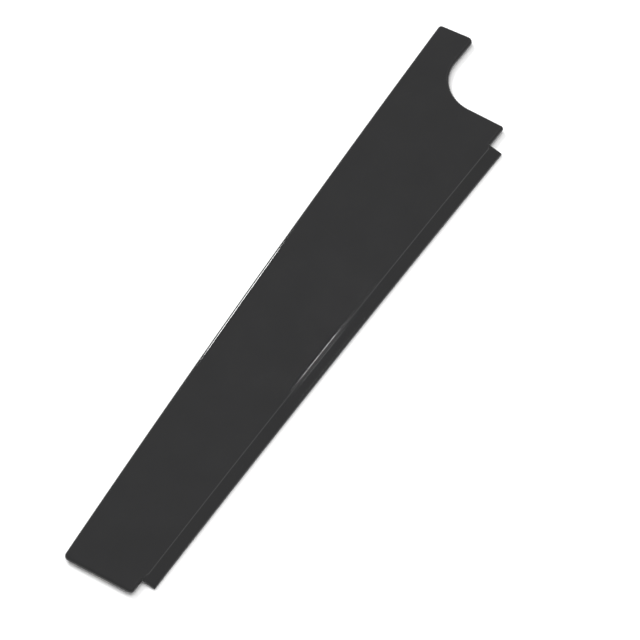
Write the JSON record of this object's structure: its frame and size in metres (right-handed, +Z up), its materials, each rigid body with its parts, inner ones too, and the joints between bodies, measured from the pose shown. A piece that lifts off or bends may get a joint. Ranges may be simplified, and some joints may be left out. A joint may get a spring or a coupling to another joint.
{
  "type": "kick plate",
  "caption": "Long tapered gloss-black kick plate with a bent-down lip, a quarter-round corner cut-out and a tab, stuck on by foam tapes with peel-off liners.",
  "frame": {"origin": "centre of the plate's outline, on the surface that it lies on", "axes": "+X along the plate from the narrow end to the tab, +Y from the bent lip to the outer edge, +Z up out of the face"},
  "size_m": [0.6135, 0.1132, 0.0064],
  "materials": {
    "gloss_sheet": "gloss",
    "foam": "matte",
    "liner_film": "satin"
  },
  "bodies": {
    "plate": {"kick_plate": "gloss_sheet", "bend_side_tape": "foam", "outer_edge_tape": "foam", "narrow_end_tape": "foam", "wide_end_tape": "foam", "tab_tape": "foam"},
    "bend_side_liner": {"bend_side_liner": "liner_film"},
    "outer_edge_liner": {"outer_edge_liner": "liner_film"},
    "narrow_end_liner": {"narrow_end_liner": "liner_film"},
    "wide_end_liner": {"wide_end_liner": "liner_film"},
    "tab_liner": {"tab_liner": "liner_film"}
  },
  "joints": [
    {"name": "bend_side_liner_pull", "type": "slide", "parent": "plate", "child": "bend_side_liner", "axis": [1, 0, 0], "range_m": [0, 0.55]},
    {"name": "outer_edge_liner_pull", "type": "slide", "parent": "plate", "child": "outer_edge_liner", "axis": [-0.9983, -0.058, 0], "range_m": [0, 0.55]},
    {"name": "narrow_end_liner_pull", "type": "slide", "parent": "plate", "child": "narrow_end_liner", "axis": [-1, 0, 0], "range_m": [0, 0.04]},
    {"name": "wide_end_liner_pull", "type": "slide", "parent": "plate", "child": "wide_end_liner", "axis": [1, 0, 0], "range_m": [0, 0.045]},
    {"name": "tab_liner_pull", "type": "slide", "parent": "plate", "child": "tab_liner", "axis": [1, 0, 0], "range_m": [0, 0.075]}
  ]
}
